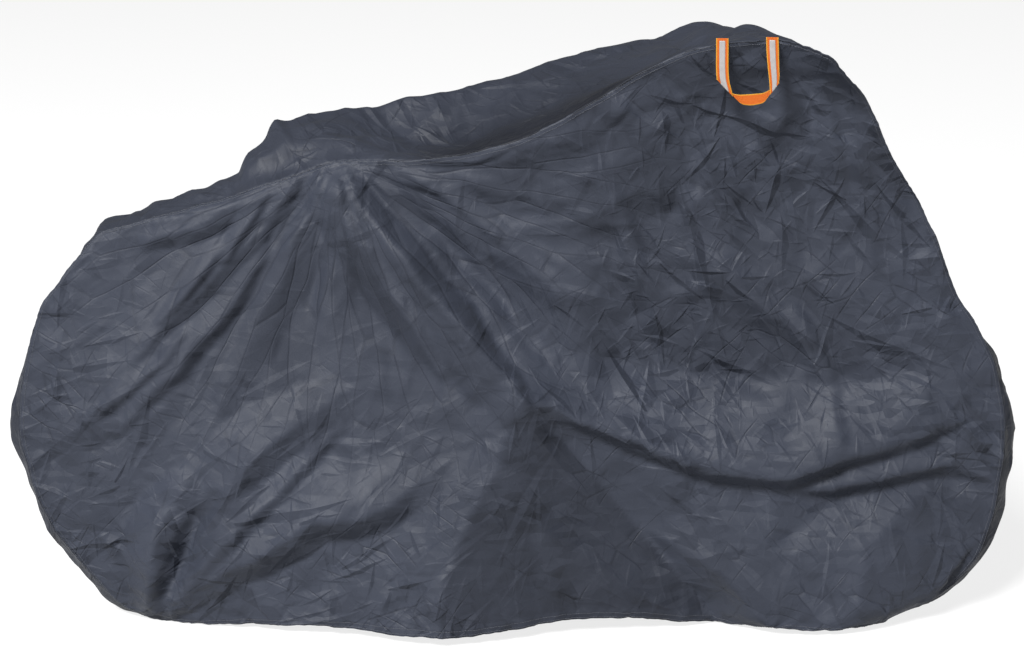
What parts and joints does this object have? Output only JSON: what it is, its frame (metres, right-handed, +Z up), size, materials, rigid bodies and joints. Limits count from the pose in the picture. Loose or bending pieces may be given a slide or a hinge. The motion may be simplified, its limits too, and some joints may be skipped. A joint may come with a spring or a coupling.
{
  "type": "bicycle cover",
  "caption": "Fitted fabric cover for a whole bicycle, two side panels joined by a centre strip, open at the bottom, with a webbing handle loop.",
  "frame": {"origin": "centre of the bounding box in plan, at the level of the lowest hem", "axes": "+X forward along the bicycle towards the front wheel, +Y towards the side without the handle loop, +Z up"},
  "size_m": [1.7961, 0.5078, 1.0753],
  "materials": {
    "cover_cloth": "plain-woven coated synthetic cloth, charcoal navy with a soft low sheen, creased",
    "handle_webbing": "orange flat-woven webbing, matt",
    "reflective_tape": "silver-grey reflective tape, smooth"
  },
  "bodies": {
    "root": {"near_side_panel": "cover_cloth", "far_side_panel": "cover_cloth", "centre_strip": "cover_cloth", "handle_loop": "handle_webbing", "handle_tape_rear": "reflective_tape", "handle_tape_front": "reflective_tape"}
  },
  "joints": []
}
